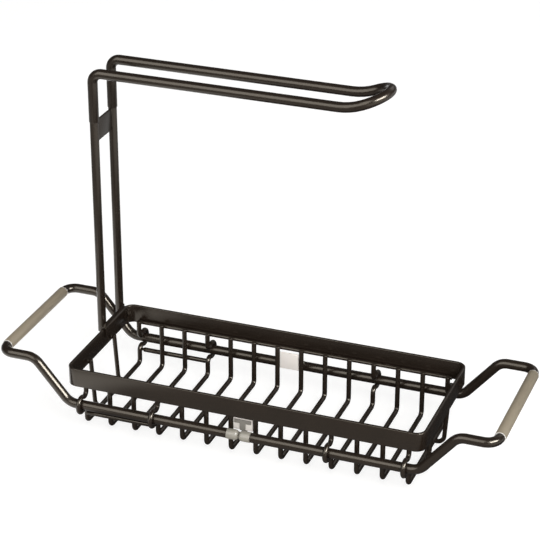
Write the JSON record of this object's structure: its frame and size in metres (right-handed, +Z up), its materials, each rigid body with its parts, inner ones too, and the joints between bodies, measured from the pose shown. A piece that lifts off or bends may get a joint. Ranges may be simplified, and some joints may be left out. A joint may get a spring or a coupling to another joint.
{
  "type": "sink organizer",
  "caption": "Open wire basket with a flat rim band, sliding looped arms with grip sleeves that bridge a sink, and a tall lift-off towel rack with a double bar.",
  "frame": {"origin": "under the middle of the basket, at the underside of the floor wires", "axes": "+X along the length towards the right arm, +Y to the rear, +Z up"},
  "size_m": [0.422, 0.1406, 0.2932],
  "materials": {
    "coated_metal": "dark bronze powder coat, satin gloss",
    "grip_plastic": "soft grey-beige plastic, matte",
    "light_plastic": "light grey plastic, matte"
  },
  "bodies": {
    "basket": {"rim_band": "coated_metal", "rim_wire_front": "coated_metal", "rim_wire_rear": "coated_metal", "cross_wire_01": "coated_metal", "cross_wire_02": "coated_metal", "cross_wire_03": "coated_metal", "cross_wire_04": "coated_metal", "cross_wire_05": "coated_metal", "cross_wire_06": "coated_metal", "cross_wire_07": "coated_metal", "cross_wire_08": "coated_metal", "cross_wire_09": "coated_metal", "cross_wire_10": "coated_metal", "cross_wire_11": "coated_metal", "cross_wire_12": "coated_metal", "cross_wire_13": "coated_metal", "cross_wire_14": "coated_metal", "floor_wire_front": "coated_metal", "floor_wire_rear": "coated_metal", "guide_bar_front": "coated_metal", "guide_bar_rear": "coated_metal", "centre_plate_front": "light_plastic", "centre_plate_rear": "light_plastic", "centre_rib_front": "grip_plastic", "centre_rib_rear": "grip_plastic"},
    "left_arm": {"left_arm_rod": "coated_metal", "left_grip": "grip_plastic", "left_cap_front": "grip_plastic", "left_cap_rear": "grip_plastic"},
    "right_arm": {"right_arm_rod": "coated_metal", "right_grip": "grip_plastic", "right_cap_front": "grip_plastic", "right_cap_rear": "grip_plastic"},
    "towel_rack": {"rack_upper_tube": "coated_metal", "rack_leg_front": "coated_metal", "rack_leg_rear": "coated_metal", "rack_cross_plate": "coated_metal", "rack_clip": "coated_metal"}
  },
  "joints": [
    {"name": "left_arm_slide", "type": "slide", "parent": "basket", "child": "left_arm", "axis": [-1, 0, 0], "range_m": [0, 0.06]},
    {"name": "right_arm_slide", "type": "slide", "parent": "basket", "child": "right_arm", "axis": [1, 0, 0], "range_m": [0, 0.06]},
    {"name": "rack_lift", "type": "slide", "parent": "basket", "child": "towel_rack", "axis": [0, 0, 1], "range_m": [0, 0.015]}
  ]
}
